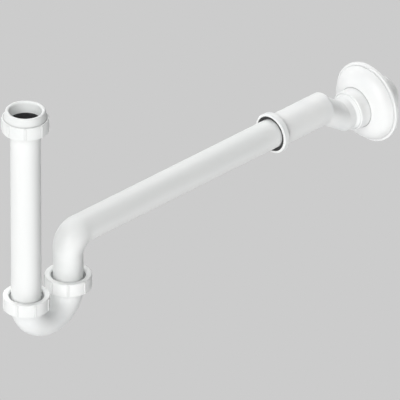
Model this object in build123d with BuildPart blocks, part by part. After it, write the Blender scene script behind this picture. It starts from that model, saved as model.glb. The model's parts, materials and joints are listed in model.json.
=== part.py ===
"""Tubular basin trap with slip nuts, an eccentric wall adapter and a wall rosette.

Millimetres. +Z is up and +Y runs along the wall pipe into the wall. The origin lies on
the axis of the wall spigot, in the face of the wall. The axes of all pieces lie in x = 0.
"""
from build123d import *
import os

os.makedirs("parts", exist_ok=True)

# Pipes: the inlet tube, the riser and the wall pipe are of one size
pipe_od = 32.0
pipe_wall = 1.6
pipe_chamfer = 0.8

# Clearances, on the radius unless they lie along an axis
bore_clearance = 0.3       # a plain socket round a pipe
lip_clearance = 0.1        # a rubber lip round a pipe
seat_clearance = 0.15      # a rubber ring in its seat
thread_clearance = 0.3     # a nut round the thread
stop_gap = 0.2             # along the axis: a pipe on its ledge, a ring under its nut

# Where things stand
leg_spacing = 61.6         # inlet tube to riser
riser_to_sleeve = 300.8    # riser to the mouth of the sleeve
pipe_rise = 61.8           # wall pipe above the foot of the slip nuts
inlet_rise = 237.0         # rim of the neck nut above the foot of the slip nuts
pipe_insertion = 40.0      # wall pipe inside the sleeve
elbow_throat = 3.2         # gap between the centre of the elbow and its inner side
elbow_heel = 1.35          # extra thickness half way round the elbow

# U-bend and its threaded sockets; heights are above the foot of the nut
bend_od = 34.0
bend_wall = 1.8
bend_lift = 4.4            # centre of the bend
socket_height = 9.6        # mouth of the socket
socket_foot = 0.6          # lower end of the thread
socket_ledge = 0.8         # ledge that the pipe stands on
socket_rim = 1.2           # wall at the mouth, under the thread
socket_flare = 2.6         # height of the cone below the thread
socket_bed = 0.7           # foot of the cone below the skin of the bend
thread_depth = 1.25

# Wedge seals
wedge_height = 5.85
wedge_proud = 0.9          # how far the seal stands out of its socket
wedge_toe = 0.9            # thickness at the narrow end
wedge_heel = 2.35          # thickness at the wide end

# Slip rings
ring_thickness = 1.3
ring_play = 0.3            # ring round the pipe, and inside the root of the thread
ring_lap = 0.75            # how far the shoulder of the nut reaches over the ring

# Nuts
nut_wall = 3.5
nut_top = 2.8              # wall over the slip ring
nut_edge = 0.9
nut_foot_edge = 0.5
rib_count = 8
rib_width = 1.6
rib_height = 0.8
rib_root = 0.6             # how deep a rib stands in the wall
rib_edge = 0.35
rib_inset = 0.9            # rib short of the top of the nut
nut_mouth = 1.2            # chamfer where the pipe enters a slip nut

# Neck of the basin nut, and the head of the inlet tube inside it
neck_height = 8.5
neck_wall = 3.55
neck_play = 1.25           # neck round the tail of the waste
neck_shoulder = 4.5        # shoulder over the tail seal, below the top of the nut's body
neck_spread = 2.2          # the neck is wider at its foot
neck_groove = 0.6          # groove round the foot of the neck
neck_edge = 1.4
neck_mouth_edge = 1.8
tail_flange = 1.9          # flat part of the tail seal
tail_wedge = 4.55          # part of the tail seal inside the head
tail_socket = 1.5          # plain socket under the seal's seat
head_floor = 0.8           # ledge above the lower end of the thread
head_flare = 2.6

# Sleeve of the wall adapter
sleeve_length = 80.2
sleeve_wall = 1.5
sleeve_floor = 2.3
sleeve_edge = 2.5
bead_length = 8.5
bead_wall = 2.5
bead_edge = 1.1
bead_heel = 2.6
bead_root = 0.8
seal_width = 3.7           # height of the seal's groove above the pipe
seal_groove = 6.8
seal_recess = 0.7
seal_rim = 1.3             # outer wall of the lip seal
seal_web = 1.6
lip_length = 3.4
lip_thickness = 0.8
lip_land = 0.6
lip_lead = 0.9             # front of the lip stands off the pipe

# Eccentric step and wall spigot
step_drop = 19.7           # spigot axis below the sleeve axis
step_length = 24.2
step_overlap = 6.1         # part of the step that starts under the sleeve
step_bed = 0.2             # start of the step below the skin of the sleeve
spigot_od = 40.0
spigot_wall = 2.0
spigot_neck = 8.2          # narrow stretch between the step and the cone
spigot_cone = 3.4
spigot_showing = 0.3       # plain spigot in front of the rosette
spigot_in_wall = 26.7
spigot_chamfer = 1.4
mark_place = 3.0           # insertion mark, in front of the wall
mark_width = 1.0
mark_depth = 0.4

# Wall rosette
rosette_od = 89.4
rosette_wall = 2.0
rosette_depth = 31.7
hub_length = 12.9
hub_wall = 1.5
hub_taper = 0.5
hub_edge = 1.3
crease_width = 0.6         # groove round the root of the hub
crease_depth = 0.7
dome_lean = 0.3            # slope of the dome where it leaves the hub
dome_turn = 0.3            # slope of the dome where it ends at the rim
dome_step = 1.2            # end of the dome in front of the rim
rim_width = 3.2
rim_thickness = 3.4
rim_edge = 1.3

# Radii
pipe_r = pipe_od / 2
pipe_bore_r = pipe_r - pipe_wall
bore_r = pipe_r + bore_clearance
lip_r = pipe_r + lip_clearance
bend_r = bend_od / 2
elbow_r = pipe_r + elbow_throat
toe_r = pipe_r + wedge_toe
heel_r = pipe_r + wedge_heel
thread_root_r = heel_r + seat_clearance + socket_rim
nut_bore_r = thread_root_r + thread_depth + thread_clearance
nut_r = nut_bore_r + nut_wall
ring_r = thread_root_r - ring_play
nut_hole_r = ring_r - ring_lap
neck_hole_r = pipe_r + neck_play
neck_r = neck_hole_r + neck_wall
neck_foot_r = neck_r + neck_spread
sleeve_r = bore_r + sleeve_wall
groove_r = pipe_r + seal_width
bead_r = groove_r + bead_wall
spigot_r = spigot_od / 2
hub_hole_r = spigot_r + bore_clearance
hub_r = hub_hole_r + hub_wall
hub_root_r = hub_r + hub_taper
rosette_r = rosette_od / 2

# Heights above the foot of a nut
wedge_top = socket_height + wedge_proud
wedge_foot = wedge_top - wedge_height
wedge_seat = wedge_foot - seat_clearance
ring_foot = wedge_top + stop_gap
shoulder = ring_foot + ring_thickness + stop_gap
nut_height = shoulder + nut_top
neck_seat = nut_height - neck_shoulder
head_mouth = neck_seat - 2 * stop_gap - tail_flange
head_seat_foot = head_mouth - tail_wedge - seat_clearance
head_ledge = head_seat_foot - tail_socket
head_foot = head_ledge - head_floor

# Places along the wall pipe, and levels
hub_root_y = hub_length - rosette_depth
cone_end_y = -rosette_depth - spigot_showing
cone_start_y = cone_end_y - spigot_cone
step_end_y = cone_start_y - spigot_neck
sleeve_end_y = step_end_y - step_length
step_start_y = sleeve_end_y - step_overlap
mouth_y = sleeve_end_y - sleeve_length
pipe_end_y = mouth_y + pipe_insertion
riser_y = mouth_y - riser_to_sleeve
inlet_y = riser_y - leg_spacing
pipe_z = step_drop
foot_z = pipe_z - pipe_rise
pipe_foot_z = foot_z + socket_ledge + stop_gap
bend_z = foot_z + bend_lift
basin_z = foot_z + inlet_rise - neck_height - nut_height


def upright(y, z):
    """Sketch plane through a vertical axis: x is the radius, y the height above z."""
    return Plane((0, y, z), x_dir=(1, 0, 0), z_dir=(0, -1, 0))


def lengthwise(z):
    """Sketch plane through a level axis: x is the place along +Y, y the radius."""
    return Plane((0, 0, z), x_dir=(0, 1, 0), z_dir=(1, 0, 0))


def across(y, z):
    """Sketch plane square to the wall pipe."""
    return Plane((0, y, z), x_dir=(-1, 0, 0), z_dir=(0, 1, 0))


def vertical(y):
    """Axis of an upright leg."""
    return Axis((0, y, 0), (0, 0, 1))


def level(z):
    """Axis of the sleeve or of the spigot."""
    return Axis((0, 0, z), (0, 1, 0))


def turned(plane, axis, *outline, mode=Mode.ADD):
    """Turns an outline about an axis."""
    with BuildSketch(plane) as section:
        with BuildLine():
            Polyline(*outline, close=True)
        make_face()
    revolve(section.sketch, axis=axis, mode=mode)


def rims(piece, radius, along):
    """Round edges of one radius, in their order along an axis."""
    edges = piece.edges().filter_by(GeomType.CIRCLE)
    return edges.filter_by(lambda edge: abs(edge.radius - radius) < 0.01).sort_by(along)


def ribs(y, z, first):
    """Ribs up the outside of a nut, from the angle of the first."""
    with BuildSketch(Plane((0, y, z + nut_foot_edge))) as section:
        with PolarLocations(nut_r + (rib_height - rib_root) / 2, rib_count, start_angle=first):
            RectangleRounded(rib_height + rib_root, rib_width, rib_edge)
    extrude(section.sketch, amount=nut_height - nut_foot_edge - rib_inset)


def seat(y, z, mouth, foot, ledge):
    """Tapered seat for a wedge seal, and the plain socket below it."""
    turned(
        upright(y, z),
        vertical(y),
        (0, mouth),
        (heel_r + seat_clearance, mouth),
        (toe_r + seat_clearance, foot),
        (bore_r, foot),
        (bore_r, ledge),
        (0, ledge),
        mode=Mode.SUBTRACT,
    )


# Wall adapter: sleeve, eccentric step and spigot; the outside first, then the waterway
with BuildPart() as wall_adapter:
    turned(
        lengthwise(pipe_z),
        level(pipe_z),
        (mouth_y, 0),
        (mouth_y, bead_r),
        (mouth_y + bead_length, bead_r),
        (mouth_y + bead_length, sleeve_r),
        (sleeve_end_y, sleeve_r),
        (sleeve_end_y, 0),
    )
    fillet(rims(wall_adapter, bead_r, Axis.Y)[0], radius=bead_edge)
    fillet(rims(wall_adapter, bead_r, Axis.Y)[-1], radius=bead_heel)
    fillet(rims(wall_adapter, sleeve_r, Axis.Y)[0], radius=bead_root)
    fillet(rims(wall_adapter, sleeve_r, Axis.Y)[-1], radius=sleeve_edge)
    with BuildSketch(across(step_start_y, pipe_z)):
        Circle(sleeve_r - step_bed)
    with BuildSketch(across(step_end_y, 0)):
        Circle(sleeve_r)
    loft()
    turned(
        lengthwise(0),
        level(0),
        (step_end_y, 0),
        (step_end_y, sleeve_r),
        (cone_start_y, sleeve_r),
        (cone_end_y, spigot_r),
        (-mark_place - mark_width, spigot_r),
        (-mark_place - mark_width, spigot_r - mark_depth),
        (-mark_place, spigot_r - mark_depth),
        (-mark_place, spigot_r),
        (spigot_in_wall - spigot_chamfer, spigot_r),
        (spigot_in_wall, spigot_r - spigot_chamfer),
        (spigot_in_wall, 0),
    )
    turned(
        lengthwise(pipe_z),
        level(pipe_z),
        (mouth_y, 0),
        (mouth_y, groove_r),
        (mouth_y + seal_groove, groove_r),
        (mouth_y + seal_groove, bore_r),
        (sleeve_end_y - sleeve_floor, bore_r),
        (sleeve_end_y - sleeve_floor, 0),
        mode=Mode.SUBTRACT,
    )
    with BuildSketch(across(step_start_y, pipe_z)):
        Circle(bore_r - step_bed)
    with BuildSketch(across(step_end_y, 0)):
        Circle(bore_r)
    loft(mode=Mode.SUBTRACT)
    turned(
        lengthwise(0),
        level(0),
        (step_end_y, 0),
        (step_end_y, bore_r),
        (cone_start_y, bore_r),
        (cone_end_y, spigot_r - spigot_wall),
        (spigot_in_wall, spigot_r - spigot_wall),
        (spigot_in_wall, 0),
        mode=Mode.SUBTRACT,
    )

# Lip seal in the mouth of the sleeve
with BuildPart() as sleeve_lip_seal:
    seal_front = mouth_y + seal_recess
    seal_back = mouth_y + seal_groove - seat_clearance
    seal_r = groove_r - seat_clearance
    turned(
        lengthwise(pipe_z),
        level(pipe_z),
        (seal_front, seal_r),
        (seal_back, seal_r),
        (seal_back, seal_r - seal_rim),
        (seal_front + seal_web, seal_r - seal_rim),
        (seal_front + lip_length, lip_r + lip_thickness),
        (seal_front + lip_length, lip_r),
        (seal_front + lip_length - lip_land, lip_r),
        (seal_front, lip_r + lip_lead),
    )

# Wall rosette: hub round the spigot, dome and rim, hollow at the back
with BuildPart() as wall_rosette:
    dome_r = rosette_r - rim_width
    with BuildSketch(lengthwise(0)):
        with BuildLine():
            Polyline(
                (-rim_thickness - dome_step, dome_r),
                (-rim_thickness, dome_r),
                (-rim_thickness, rosette_r),
                (0, rosette_r),
                (0, dome_r - rosette_wall),
                (-rim_thickness, dome_r - rosette_wall),
            )
            Spline(
                (-rim_thickness, dome_r - rosette_wall),
                (hub_root_y + rosette_wall, hub_root_r),
                tangents=((-1, -dome_turn), (-dome_lean, -1)),
            )
            Polyline(
                (hub_root_y + rosette_wall, hub_root_r),
                (hub_root_y + rosette_wall, hub_hole_r),
                (-rosette_depth, hub_hole_r),
                (-rosette_depth, hub_r),
                (hub_root_y + crease_depth, hub_root_r),
                (hub_root_y + crease_depth, hub_root_r + crease_width),
                (hub_root_y, hub_root_r + crease_width),
            )
            Spline(
                (hub_root_y, hub_root_r + crease_width),
                (-rim_thickness - dome_step, dome_r),
                tangents=((dome_lean, 1), (1, dome_turn)),
            )
        make_face()
    revolve(axis=level(0))
    fillet(rims(wall_rosette, rosette_r, Axis.Y)[0], radius=rim_edge)
    fillet(rims(wall_rosette, hub_r, Axis.Y)[0], radius=hub_edge)

# Outlet pipe: riser, elbow and wall pipe in one piece
with BuildPart() as outlet_pipe:
    with BuildLine(Plane.YZ):
        riser = Line((riser_y, pipe_foot_z), (riser_y, pipe_z - elbow_r))
    with BuildLine(Plane.YZ):
        elbow = CenterArc((riser_y + elbow_r, pipe_z - elbow_r), elbow_r, 180, -90)
    with BuildLine(Plane.YZ):
        wall_pipe = Line((riser_y + elbow_r, pipe_z), (pipe_end_y, pipe_z))
    for straight in (riser, wall_pipe):
        with BuildSketch(straight ^ 0):
            Circle(pipe_r)
        sweep(path=straight)
    with BuildSketch(elbow ^ 0, elbow ^ 1):
        Circle(pipe_r)
    with BuildSketch(elbow ^ 0.5):
        Circle(pipe_r + elbow_heel)
    sweep(path=elbow, multisection=True)
    chamfer(rims(outlet_pipe, pipe_r, Axis.Z)[0], length=pipe_chamfer)
    chamfer(rims(outlet_pipe, pipe_r, Axis.Y)[-1], length=pipe_chamfer)
    for stretch in (riser, elbow, wall_pipe):
        with BuildSketch(stretch ^ 0):
            Circle(pipe_bore_r)
        sweep(path=stretch, mode=Mode.SUBTRACT)

# U-bend with a threaded socket on each leg
with BuildPart() as trap_bend:
    with BuildLine(Plane.YZ):
        u_turn = CenterArc(((inlet_y + riser_y) / 2, bend_z), leg_spacing / 2, 180, 180)
    with BuildSketch(u_turn ^ 0):
        Circle(bend_r)
    sweep(path=u_turn)
    for leg_y in (inlet_y, riser_y):
        turned(
            upright(leg_y, foot_z),
            vertical(leg_y),
            (0, socket_foot - socket_flare),
            (bend_r - socket_bed, socket_foot - socket_flare),
            (thread_root_r, socket_foot),
            (thread_root_r, socket_height),
            (0, socket_height),
        )
    for leg_y in (inlet_y, riser_y):
        seat(leg_y, foot_z, socket_height, wedge_seat, socket_ledge)
    with BuildSketch(u_turn ^ 0):
        Circle(bend_r - bend_wall)
    sweep(path=u_turn, mode=Mode.SUBTRACT)

# Immersion tube with the threaded head for the basin nut
with BuildPart() as immersion_tube:
    turned(
        upright(inlet_y, basin_z),
        vertical(inlet_y),
        (0, pipe_foot_z - basin_z),
        (pipe_r, pipe_foot_z - basin_z),
        (pipe_r, head_foot - head_flare),
        (thread_root_r, head_foot),
        (thread_root_r, head_mouth),
        (0, head_mouth),
    )
    chamfer(rims(immersion_tube, pipe_r, Axis.Z)[0], length=pipe_chamfer)
    seat(inlet_y, basin_z, head_mouth, head_seat_foot, head_ledge)
    turned(
        upright(inlet_y, basin_z),
        vertical(inlet_y),
        (0, pipe_foot_z - basin_z),
        (pipe_bore_r, pipe_foot_z - basin_z),
        (pipe_bore_r, head_ledge),
        (0, head_ledge),
        mode=Mode.SUBTRACT,
    )

# Tail seal: a wedge inside the head and a flange on its mouth
with BuildPart() as tail_seal:
    turned(
        upright(inlet_y, basin_z),
        vertical(inlet_y),
        (lip_r, head_seat_foot + seat_clearance),
        (toe_r, head_seat_foot + seat_clearance),
        (heel_r, head_mouth),
        (heel_r, head_mouth + stop_gap),
        (ring_r, head_mouth + stop_gap),
        (ring_r, neck_seat - stop_gap),
        (lip_r, neck_seat - stop_gap),
    )

# Basin nut: ribbed body with a smooth neck for the tail of the waste
with BuildPart() as basin_nut:
    turned(
        upright(inlet_y, basin_z),
        vertical(inlet_y),
        (nut_bore_r, 0),
        (nut_r, 0),
        (nut_r, nut_height),
        (neck_foot_r + neck_groove, nut_height),
        (neck_foot_r + neck_groove, nut_height - neck_groove),
        (neck_foot_r, nut_height - neck_groove),
        (neck_r, nut_height + neck_height),
        (neck_hole_r, nut_height + neck_height),
        (neck_hole_r, neck_seat),
        (nut_bore_r, neck_seat),
    )
    fillet(rims(basin_nut, nut_r, Axis.Z)[-1], radius=nut_edge)
    fillet(rims(basin_nut, nut_r, Axis.Z)[0], radius=nut_foot_edge)
    fillet(rims(basin_nut, neck_r, Axis.Z)[-1], radius=neck_edge)
    fillet(rims(basin_nut, neck_hole_r, Axis.Z)[-1], radius=neck_mouth_edge)
    ribs(inlet_y, basin_z, 0)


def slip_nut(y, first_rib):
    """Ribbed nut round a pipe, with a shoulder over the slip ring."""
    with BuildPart() as nut:
        turned(
            upright(y, foot_z),
            vertical(y),
            (nut_bore_r, 0),
            (nut_r, 0),
            (nut_r, nut_height),
            (nut_hole_r, nut_height),
            (nut_hole_r, shoulder),
            (nut_bore_r, shoulder),
        )
        fillet(rims(nut, nut_r, Axis.Z)[-1], radius=nut_edge)
        fillet(rims(nut, nut_r, Axis.Z)[0], radius=nut_foot_edge)
        chamfer(rims(nut, nut_hole_r, Axis.Z)[-1], length=nut_mouth)
        ribs(y, foot_z, first_rib)
    return nut.part


def slip_ring(y):
    """Plain ring between a slip nut and its seal."""
    with BuildPart() as ring:
        turned(
            upright(y, foot_z),
            vertical(y),
            (pipe_r + ring_play, ring_foot),
            (ring_r, ring_foot),
            (ring_r, ring_foot + ring_thickness),
            (pipe_r + ring_play, ring_foot + ring_thickness),
        )
    return ring.part


def wedge_seal(y):
    """Tapered rubber ring in a socket of the U-bend."""
    with BuildPart() as wedge:
        turned(
            upright(y, foot_z),
            vertical(y),
            (lip_r, wedge_foot),
            (toe_r, wedge_foot),
            (heel_r, socket_height),
            (heel_r, wedge_top),
            (lip_r, wedge_top),
        )
    return wedge.part


# The two slip joints of the U-bend
with BuildPart() as inlet_nut:
    add(slip_nut(inlet_y, 180 / rib_count))

with BuildPart() as outlet_nut:
    add(slip_nut(riser_y, 0))

with BuildPart() as inlet_slip_ring:
    add(slip_ring(inlet_y))

with BuildPart() as outlet_slip_ring:
    add(slip_ring(riser_y))

with BuildPart() as inlet_wedge_seal:
    add(wedge_seal(inlet_y))

with BuildPart() as outlet_wedge_seal:
    add(wedge_seal(riser_y))

wall_adapter.part.label = "wall_adapter"
sleeve_lip_seal.part.label = "sleeve_lip_seal"
wall_rosette.part.label = "wall_rosette"
outlet_pipe.part.label = "outlet_pipe"
trap_bend.part.label = "trap_bend"
immersion_tube.part.label = "immersion_tube"
tail_seal.part.label = "tail_seal"
basin_nut.part.label = "basin_nut"
inlet_nut.part.label = "inlet_nut"
outlet_nut.part.label = "outlet_nut"
inlet_slip_ring.part.label = "inlet_slip_ring"
outlet_slip_ring.part.label = "outlet_slip_ring"
inlet_wedge_seal.part.label = "inlet_wedge_seal"
outlet_wedge_seal.part.label = "outlet_wedge_seal"

export_step(wall_adapter.part, "parts/wall_adapter.step")
export_step(sleeve_lip_seal.part, "parts/sleeve_lip_seal.step")
export_step(wall_rosette.part, "parts/wall_rosette.step")
export_step(outlet_pipe.part, "parts/outlet_pipe.step")
export_step(trap_bend.part, "parts/trap_bend.step")
export_step(immersion_tube.part, "parts/immersion_tube.step")
export_step(tail_seal.part, "parts/tail_seal.step")
export_step(basin_nut.part, "parts/basin_nut.step")
export_step(inlet_nut.part, "parts/inlet_nut.step")
export_step(outlet_nut.part, "parts/outlet_nut.step")
export_step(inlet_slip_ring.part, "parts/inlet_slip_ring.step")
export_step(outlet_slip_ring.part, "parts/outlet_slip_ring.step")
export_step(inlet_wedge_seal.part, "parts/inlet_wedge_seal.step")
export_step(outlet_wedge_seal.part, "parts/outlet_wedge_seal.step")
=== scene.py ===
"""A white basin trap: inlet tube and U-bend with slip nuts, wall pipe, adapter and rosette."""
import json
import math

import bmesh
import bpy
from mathutils import Matrix, Vector


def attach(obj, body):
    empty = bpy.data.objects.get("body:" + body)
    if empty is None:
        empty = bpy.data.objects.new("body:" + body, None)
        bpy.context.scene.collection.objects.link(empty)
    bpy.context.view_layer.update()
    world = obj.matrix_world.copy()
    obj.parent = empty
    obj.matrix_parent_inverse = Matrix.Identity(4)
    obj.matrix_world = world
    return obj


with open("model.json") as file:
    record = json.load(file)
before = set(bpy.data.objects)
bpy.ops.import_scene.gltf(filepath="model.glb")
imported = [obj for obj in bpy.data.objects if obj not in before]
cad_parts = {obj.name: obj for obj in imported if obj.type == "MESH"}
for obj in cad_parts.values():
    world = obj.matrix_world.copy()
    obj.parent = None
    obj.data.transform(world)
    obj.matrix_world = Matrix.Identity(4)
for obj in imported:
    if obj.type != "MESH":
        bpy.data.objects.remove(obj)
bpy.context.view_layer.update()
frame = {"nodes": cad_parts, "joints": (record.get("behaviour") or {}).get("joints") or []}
nodes = frame["nodes"]

# WALL ADAPTER
# A push-fit sleeve, an offset and the 40 mm wall spigot in one injection moulding of white
# polypropylene. The mould has a fine grain, which leaves a satin gloss, and opens sideways,
# so a fine parting line runs along the piece.

adapter_white, adapter_shade = "#f4f5f4", "#eceeee"
satin_roughness = 0.42
duller_patch, glossier_patch = 0.05, 0.04
flow_patch = 0.035            # patches where the plastic flowed together in the mould
mould_grain = 0.0011          # true grain is about 0.1 mm; drawn coarser so that it shows
skin_depth, skin_strength = 0.0002, 0.05
even_grain = (1, 1, 1)
polypropylene_ior = 1.49
parting_line_half_width, parting_line_height, parting_line_strength = 0.00022, 0.0001, 0.35
# Painted shade: the grey that is mixed into each piece's own creases and corners, and how far it reaches.
painted_crease_shade, crease_reach = "#b0b1b1", 0.0018


def linear(hex_colour):
    """sRGB hex to a linear colour."""
    levels = [int(hex_colour[i:i + 2], 16) / 255 for i in (1, 3, 5)]
    return [v / 12.92 if v <= 0.04045 else ((v + 0.055) / 1.055) ** 2.4 for v in levels] + [1.0]


def add_node(tree, kind, links=(), **settings):
    """Adds a node: settings are its own or its sockets' values, links its inputs."""
    node = tree.nodes.new(kind)
    for key, value in settings.items():
        if hasattr(node, key):
            setattr(node, key, value)
    for key, value in settings.items():
        if not hasattr(node, key):
            node.inputs[key.replace("_", " ")].default_value = value
    for socket, source in links:
        tree.links.new(source, node.inputs[socket])
    return node


def white_plastic(name, light, shade, roughness, grain, stretch, parting_line=False):
    """White polypropylene: mottled faintly, a skin that is not quite flat, and painted shade in its creases.
    """
    material = bpy.data.materials.new(name)
    material.use_nodes = True
    tree = material.node_tree
    shader = tree.nodes["Principled BSDF"]
    place = add_node(tree, "ShaderNodeTexCoord").outputs["Object"]
    drawn = add_node(tree, "ShaderNodeMapping", [("Vector", place)], Scale=stretch).outputs["Vector"]
    flow = add_node(tree, "ShaderNodeTexNoise", [("Vector", drawn)], Scale=1 / flow_patch, Detail=3.0)
    skin = add_node(tree, "ShaderNodeTexNoise", [("Vector", drawn)], Scale=1 / grain, Detail=2.0)
    mottle = add_node(tree, "ShaderNodeValToRGB", [("Fac", flow.outputs["Fac"])])
    mottle.color_ramp.elements[0].position = 0.35
    mottle.color_ramp.elements[0].color = linear(shade)
    mottle.color_ramp.elements[1].position = 0.65
    mottle.color_ramp.elements[1].color = linear(light)
    gloss = add_node(tree, "ShaderNodeMapRange", [("Value", skin.outputs["Fac"])])
    gloss.inputs["To Min"].default_value = roughness - glossier_patch
    gloss.inputs["To Max"].default_value = roughness + duller_patch
    bump = add_node(tree, "ShaderNodeBump", [("Height", skin.outputs["Fac"])],
                    Strength=skin_strength, Distance=skin_depth)
    if parting_line:
        across = add_node(tree, "ShaderNodeSeparateXYZ", [("Vector", place)]).outputs["X"]
        away = add_node(tree, "ShaderNodeMath", [(0, across)], operation="ABSOLUTE").outputs[0]
        ridge = add_node(tree, "ShaderNodeMapRange", [("Value", away)])
        ridge.inputs["From Max"].default_value = parting_line_half_width
        ridge.inputs["To Min"].default_value = 1.0
        ridge.inputs["To Max"].default_value = 0.0
        bump = add_node(tree, "ShaderNodeBump",
                        [("Height", ridge.outputs[0]), ("Normal", bump.outputs["Normal"])],
                        Strength=parting_line_strength, Distance=parting_line_height)
    # Painted shade: the colour darkens towards grey in the piece's own creases and corners, where shade
    # falls.
    corners = add_node(tree, "ShaderNodeAmbientOcclusion", samples=8, only_local=True, Distance=crease_reach)
    crease_painted_shade = add_node(tree, "ShaderNodeMixRGB",
                     [("Fac", corners.outputs["AO"]), ("Color2", mottle.outputs["Color"])],
                     Color1=linear(painted_crease_shade))
    tree.links.new(crease_painted_shade.outputs["Color"], shader.inputs["Base Color"])
    tree.links.new(gloss.outputs[0], shader.inputs["Roughness"])
    tree.links.new(bump.outputs["Normal"], shader.inputs["Normal"])
    shader.inputs["IOR"].default_value = polypropylene_ior
    return material


def finish_with(node, material):
    """Gives a piece its one material."""
    nodes[node].data.materials.clear()
    nodes[node].data.materials.append(material)


moulded_pp = white_plastic("moulded_polypropylene_split_mould", adapter_white, adapter_shade,
                           satin_roughness, mould_grain, even_grain, parting_line=True)
finish_with("wall_adapter", moulded_pp)

# SLEEVE LIP SEAL
# A black rubber ring with one lip, moulded from EPDM and pushed into the groove in the mouth
# of the sleeve. The skin is matt and a little dusty with talc.

rubber_black, rubber_dust = "#2b2b2c", "#3e3e3f"
talc_patch = 0.004
rubber_grain = 0.0008         # true grain is under 0.1 mm; drawn coarser so that it shows
rubber_grain_depth, rubber_grain_strength = 0.0001, 0.2
rubber_roughness, rubber_ior = 0.62, 1.52


def black_rubber(name):
    """Matt black rubber with a fine grain and a trace of dust."""
    material = bpy.data.materials.new(name)
    material.use_nodes = True
    tree = material.node_tree
    shader = tree.nodes["Principled BSDF"]
    place = add_node(tree, "ShaderNodeTexCoord").outputs["Object"]
    dust = add_node(tree, "ShaderNodeTexNoise", [("Vector", place)], Scale=1 / talc_patch, Detail=4.0)
    grain = add_node(tree, "ShaderNodeTexNoise", [("Vector", place)], Scale=1 / rubber_grain, Detail=2.0)
    tint = add_node(tree, "ShaderNodeValToRGB", [("Fac", dust.outputs["Fac"])])
    tint.color_ramp.elements[0].position = 0.45
    tint.color_ramp.elements[0].color = linear(rubber_black)
    tint.color_ramp.elements[1].position = 0.75
    tint.color_ramp.elements[1].color = linear(rubber_dust)
    bump = add_node(tree, "ShaderNodeBump", [("Height", grain.outputs["Fac"])],
                    Strength=rubber_grain_strength, Distance=rubber_grain_depth)
    tree.links.new(tint.outputs["Color"], shader.inputs["Base Color"])
    tree.links.new(bump.outputs["Normal"], shader.inputs["Normal"])
    shader.inputs["Roughness"].default_value = rubber_roughness
    shader.inputs["IOR"].default_value = rubber_ior
    return material


epdm_rubber = black_rubber("moulded_epdm_rubber")
finish_with("sleeve_lip_seal", epdm_rubber)

# WALL ROSETTE
# A bell-shaped cover of white polypropylene that slides on the spigot and hides the hole in
# the wall. It comes from a turned and polished mould, so it has no parting line, and its
# skin is a little glossier and smoother.

rosette_white, rosette_shade = "#f1f2f1", "#ebecec"
polished_roughness = 0.38
polish_wave = 0.0016          # left by the polishing of the mould; drawn coarser so that it shows
polished_pp = white_plastic("moulded_polypropylene_polished", rosette_white, rosette_shade,
                            polished_roughness, polish_wave, even_grain)
finish_with("wall_rosette", polished_pp)

# OUTLET PIPE
# Riser, elbow and level pipe are one piece of 32 mm polypropylene pipe. Extrusion leaves
# very fine lines along it, which draw its highlights out lengthwise.

pipe_white, pipe_shade = "#f3f4f3", "#ebedec"
pipe_roughness = 0.4
draw_line_spacing = 0.0011    # the true lines are finer; drawn coarser so that they show
drawn_along_y = (1, 0.08, 1)
extruded_pp = white_plastic("extruded_polypropylene_along_y", pipe_white, pipe_shade,
                            pipe_roughness, draw_line_spacing, drawn_along_y)
finish_with("outlet_pipe", extruded_pp)

# U-BEND
# One moulding of white polypropylene with a threaded socket on each leg. The thread is a
# G 1 1/4 pipe thread, eleven turns to the inch, cut into the mould.

turning_point = {joint["name"]: joint["pos_m"] for joint in frame["joints"] if "pos_m" in joint}
inlet_y, nut_foot = turning_point["inlet_nut_turn"][1:]
riser_y = turning_point["outlet_nut_turn"][1]
legs = {"outlet": riser_y, "inlet": inlet_y}

thread_pitch = 0.002309
thread_root, thread_crest = 0.0197, 0.02072
ridge_foot_half, ridge_crest_half = 0.00075, 0.00025
ridge_bury = 0.00008          # how deep a ridge's foot lies in the wall that carries it
ridge_rise = thread_pitch / 5  # the climb over which a ridge comes up to its full height
steps_per_turn = 48
upwards = Vector((0.001, 0.0001, 1.0))  # a little askew, so that no two places are level
socket_thread_start, socket_thread_length = 0.0008, 0.0086


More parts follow.
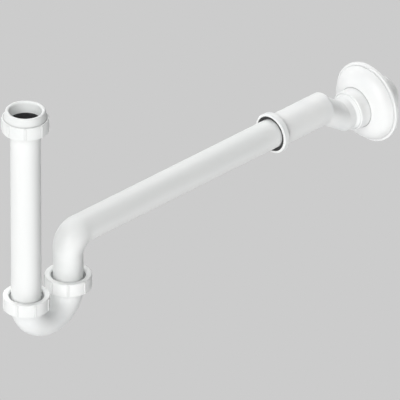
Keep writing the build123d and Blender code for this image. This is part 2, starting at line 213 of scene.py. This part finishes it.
def screw_thread(name, body, material, y, foot, length, root, crest, start_angle):
    """One helical ridge, spun round an upright axis, that runs out at both ends."""
    lowest = foot + ridge_foot_half
    turns = (length - 2 * ridge_foot_half) / thread_pitch
    highest = lowest + turns * thread_pitch
    steps = round(turns * steps_per_turn)
    outline = [(root, -ridge_foot_half), (crest, -ridge_crest_half),
               (crest, ridge_crest_half), (root, ridge_foot_half)]
    bm = bmesh.new()
    start = Matrix.Translation((0, y, 0)) @ Matrix.Rotation(start_angle, 4, "Z")
    ring = [bm.verts.new(start @ Vector((radius, 0, lowest + rise))) for radius, rise in outline]
    face = bm.faces.new(ring)
    bmesh.ops.spin(bm, geom=[face] + ring + face.edges[:], cent=(0, y, 0), axis=(0, 0, 1),
                   dvec=(0, 0, thread_pitch / steps_per_turn),
                   angle=math.tau * steps / steps_per_turn, steps=steps, use_duplicate=False)
    # At both ends the crest sinks into the wall. A corner's angle tells how far along it is.
    for v in bm.verts:
        out = Vector((v.co.x, v.co.y - y))
        part_turn = (math.atan2(out.y, out.x) - start_angle) % math.tau / math.tau
        whole_turns = round((v.co.z - lowest) / thread_pitch - part_turn)
        height = lowest + (part_turn + whole_turns) * thread_pitch
        to_end = min(height - lowest, highest - height)
        if abs(out.length - crest) < abs(out.length - root):
            radius = root + (crest - root) * min(1.0, max(0.0, to_end / ridge_rise))
            v.co.x, v.co.y = out.x / out.length * radius, y + out.y / out.length * radius
    bmesh.ops.remove_doubles(bm, verts=bm.verts, dist=1e-6)
    bmesh.ops.recalc_face_normals(bm, faces=bm.faces)
    # The operators leave an order that changes from run to run, so all is sorted upwards.
    bm.verts.sort(key=lambda v: v.co.dot(upwards))
    bm.edges.sort(key=lambda e: (e.verts[0].co + e.verts[1].co).dot(upwards))
    bm.faces.sort(key=lambda f: f.calc_center_median().dot(upwards))
    mesh = bpy.data.meshes.new(name)
    bm.to_mesh(mesh)
    bm.free()
    mesh.materials.append(material)
    piece = bpy.data.objects.new(name, mesh)
    bpy.context.scene.collection.objects.link(piece)
    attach(piece, body)


finish_with("trap_bend", moulded_pp)
for leg, leg_y in legs.items():
    screw_thread(leg + "_socket_thread", "trap_bend", moulded_pp, leg_y,
                 nut_foot + socket_thread_start, socket_thread_length,
                 thread_root - ridge_bury, thread_crest, 0.0)

# SLIP RINGS AND WEDGE SEALS
# In each slip joint a black wedge seal sits in the mouth of the socket, and a thin ring of
# natural polyethylene lets the nut turn on it. The ring is coloured a mid grey, much darker
# than the white pieces round it.

ring_grey, ring_shade = "#989a9a", "#8c8f8f"
ring_roughness = 0.42
ring_grain = 0.0009           # drawn coarser than it is, as the mould's grain on the adapter
ring_pe = white_plastic("natural_polyethylene_mid_grey", ring_grey, ring_shade,
                        ring_roughness, ring_grain, even_grain)
for leg in legs:
    finish_with(leg + "_slip_ring", ring_pe)
    finish_with(leg + "_wedge_seal", epdm_rubber)

# SLIP NUTS
# Ribbed nuts of white polypropylene, one on each socket, tightened by hand on their eight
# ribs. They are moulded on a core that is screwed out of the thread, and have a satin skin.

nut_white, nut_shade = "#f5f6f5", "#edefee"
nut_roughness = 0.4
nut_grain = 0.0010            # drawn coarser than it is, as the mould's grain on the adapter
nut_bore, nut_thread_crest = 0.02125, 0.02012
nut_thread_start, nut_thread_length = 0.0008, 0.0102
half_a_turn = math.pi         # it stands the nut's ridge midway between the socket's
nut_pp = white_plastic("moulded_polypropylene_nut", nut_white, nut_shade,
                       nut_roughness, nut_grain, even_grain)
for leg, leg_y in legs.items():
    finish_with(leg + "_nut", nut_pp)
    screw_thread(leg + "_nut_thread", leg + "_nut", nut_pp, leg_y,
                 nut_foot + nut_thread_start, nut_thread_length,
                 nut_bore + ridge_bury, nut_thread_crest, half_a_turn)

# IMMERSION TUBE
# A 32 mm polypropylene tube that reaches down into the U-bend, with a threaded head for the
# basin nut. It is extruded, so its fine lines run upright.

basin_foot = turning_point["basin_nut_turn"][2]
head_thread_start, head_thread_length = 0.0014, 0.0066
drawn_along_z = (1, 1, 0.08)
upright_pp = white_plastic("extruded_polypropylene_along_z", pipe_white, pipe_shade,
                           pipe_roughness, draw_line_spacing, drawn_along_z)
finish_with("immersion_tube", upright_pp)
screw_thread("head_thread", "immersion_tube", upright_pp, inlet_y,
             basin_foot + head_thread_start, head_thread_length,
             thread_root - ridge_bury, thread_crest, 0.0)

# TAIL SEAL AND BASIN NUT
# The seal is a black rubber wedge with a flange. The nut has a smooth neck round the tail
# of the basin waste, and screws down on the head of the tube.

basin_thread_start, basin_thread_length = 0.0014, 0.0086
finish_with("tail_seal", epdm_rubber)
finish_with("basin_nut", nut_pp)
screw_thread("basin_nut_thread", "basin_nut", nut_pp, inlet_y,
             basin_foot + basin_thread_start, basin_thread_length,
             nut_bore + ridge_bury, nut_thread_crest, half_a_turn)

# FLOOR
# A plain pale floor, half a metre below the trap. The photograph shows no shadow on it, so it
# has one flat colour from above, and from below it is clear.

backdrop_grey = "#cccccc"
floor_height, floor_half_width = -0.5, 15.0

bm = bmesh.new()
bmesh.ops.create_grid(bm, x_segments=1, y_segments=1, size=floor_half_width,
                      matrix=Matrix.Translation((0, 0, floor_height)))
floor_mesh = bpy.data.meshes.new("floor")
bm.to_mesh(floor_mesh)
bm.free()
floor = bpy.data.objects.new("floor", floor_mesh)
bpy.context.scene.collection.objects.link(floor)
floor.visible_diffuse = False
floor.visible_shadow = False

flat_grey = bpy.data.materials.new("flat_grey_floor")
flat_grey.use_nodes = True
floor_tree = flat_grey.node_tree
floor_side = add_node(floor_tree, "ShaderNodeNewGeometry")
floor_top = add_node(floor_tree, "ShaderNodeEmission", Color=linear(backdrop_grey), Strength=1.0)
floor_under = add_node(floor_tree, "ShaderNodeBsdfTransparent")
floor_skin = add_node(floor_tree, "ShaderNodeMixShader", [
    (0, floor_side.outputs["Backfacing"]), (1, floor_top.outputs[0]), (2, floor_under.outputs[0])])
floor_tree.links.new(floor_skin.outputs[0], floor_tree.nodes["Material Output"].inputs["Surface"])
floor_mesh.materials.append(flat_grey)

# BACKDROP AND LAMPS
# A plain grey studio backdrop, and broad lamps all round: a key on the camera's left, a soft
# ceiling behind the trap, a light table below and a weaker lamp on each side. Only the key is
# seen mirrored in the plastic.

room_strength = 0.03
world = bpy.data.worlds.new("room")
bpy.context.scene.world = world
world.use_nodes = True
sky_tree = world.node_tree
room_light = sky_tree.nodes["Background"]
room_light.inputs["Color"].default_value = linear("#ffffff")
room_light.inputs["Strength"].default_value = room_strength
behind = add_node(sky_tree, "ShaderNodeBackground", Color=linear(backdrop_grey), Strength=1.0)
rays = add_node(sky_tree, "ShaderNodeLightPath").outputs
seen_or_mirrored = add_node(sky_tree, "ShaderNodeMath", [
    (0, rays["Is Camera Ray"]), (1, rays["Is Glossy Ray"])], operation="MAXIMUM")
shows_backdrop = add_node(sky_tree, "ShaderNodeMath", [
    (0, seen_or_mirrored.outputs[0]), (1, rays["Is Transmission Ray"])], operation="MAXIMUM")
sky = add_node(sky_tree, "ShaderNodeMixShader", [
    (0, shows_backdrop.outputs[0]), (1, room_light.outputs[0]), (2, behind.outputs[0])])
sky_tree.links.new(sky.outputs[0], sky_tree.nodes["World Output"].inputs["Surface"])


def soft_lamp(name, bearing, height, strength, breadth, mirrored=False):
    """A broad far lamp: its bearing is counted from +X towards +Y, its height from the horizon."""
    lamp = bpy.data.lights.new(name, "SUN")
    lamp.energy = strength
    lamp.angle = math.radians(breadth)
    holder = bpy.data.objects.new(name, lamp)
    bpy.context.scene.collection.objects.link(holder)
    holder.visible_glossy = mirrored
    level = math.cos(math.radians(height))
    towards = Vector((level * math.cos(math.radians(bearing)), level * math.sin(math.radians(bearing)),
                      math.sin(math.radians(height))))
    holder.rotation_mode = "QUATERNION"
    holder.rotation_quaternion = towards.to_track_quat("Z", "Y")


soft_lamp("key", bearing=-72, height=30, strength=2.0, breadth=45, mirrored=True)
soft_lamp("ceiling", bearing=150, height=45, strength=2.4, breadth=60)
soft_lamp("light_table", bearing=-23, height=-50, strength=1.6, breadth=60)
soft_lamp("rim_left", bearing=-145, height=-17, strength=1.35, breadth=60)
soft_lamp("fill_right", bearing=-27, height=19, strength=0.92, breadth=60)

# CAMERA
# The photograph looks down at 30 degrees, from 45 degrees to the right of the trap's front.
# Its lens is very long, so there is hardly any perspective.

view_azimuth, view_elevation = math.radians(45), math.radians(30)
camera_lens, sensor_width = 1600.0, 36.0
frame_width = 0.42105         # width of the picture at the object
aim_right, aim_up, aim_back = -0.1791, -0.1053, 0.2

back = Vector((math.sin(view_azimuth) * math.cos(view_elevation),
               -math.cos(view_azimuth) * math.cos(view_elevation), math.sin(view_elevation)))
right = Vector((math.cos(view_azimuth), math.sin(view_azimuth), 0))
up = back.cross(right)
target = right * aim_right + up * aim_up + back * aim_back
distance = frame_width * camera_lens / sensor_width

camera = bpy.data.objects.new("camera", bpy.data.cameras.new("camera"))
bpy.context.scene.collection.objects.link(camera)
camera.data.lens = camera_lens
camera.data.sensor_width = sensor_width
camera.data.clip_start, camera.data.clip_end = 0.1, 200
camera.location = target + back * distance
camera.rotation_mode = "QUATERNION"
camera.rotation_quaternion = back.to_track_quat("Z", "Y")
bpy.context.scene.camera = camera
bpy.context.scene.view_settings.view_transform = "Standard"
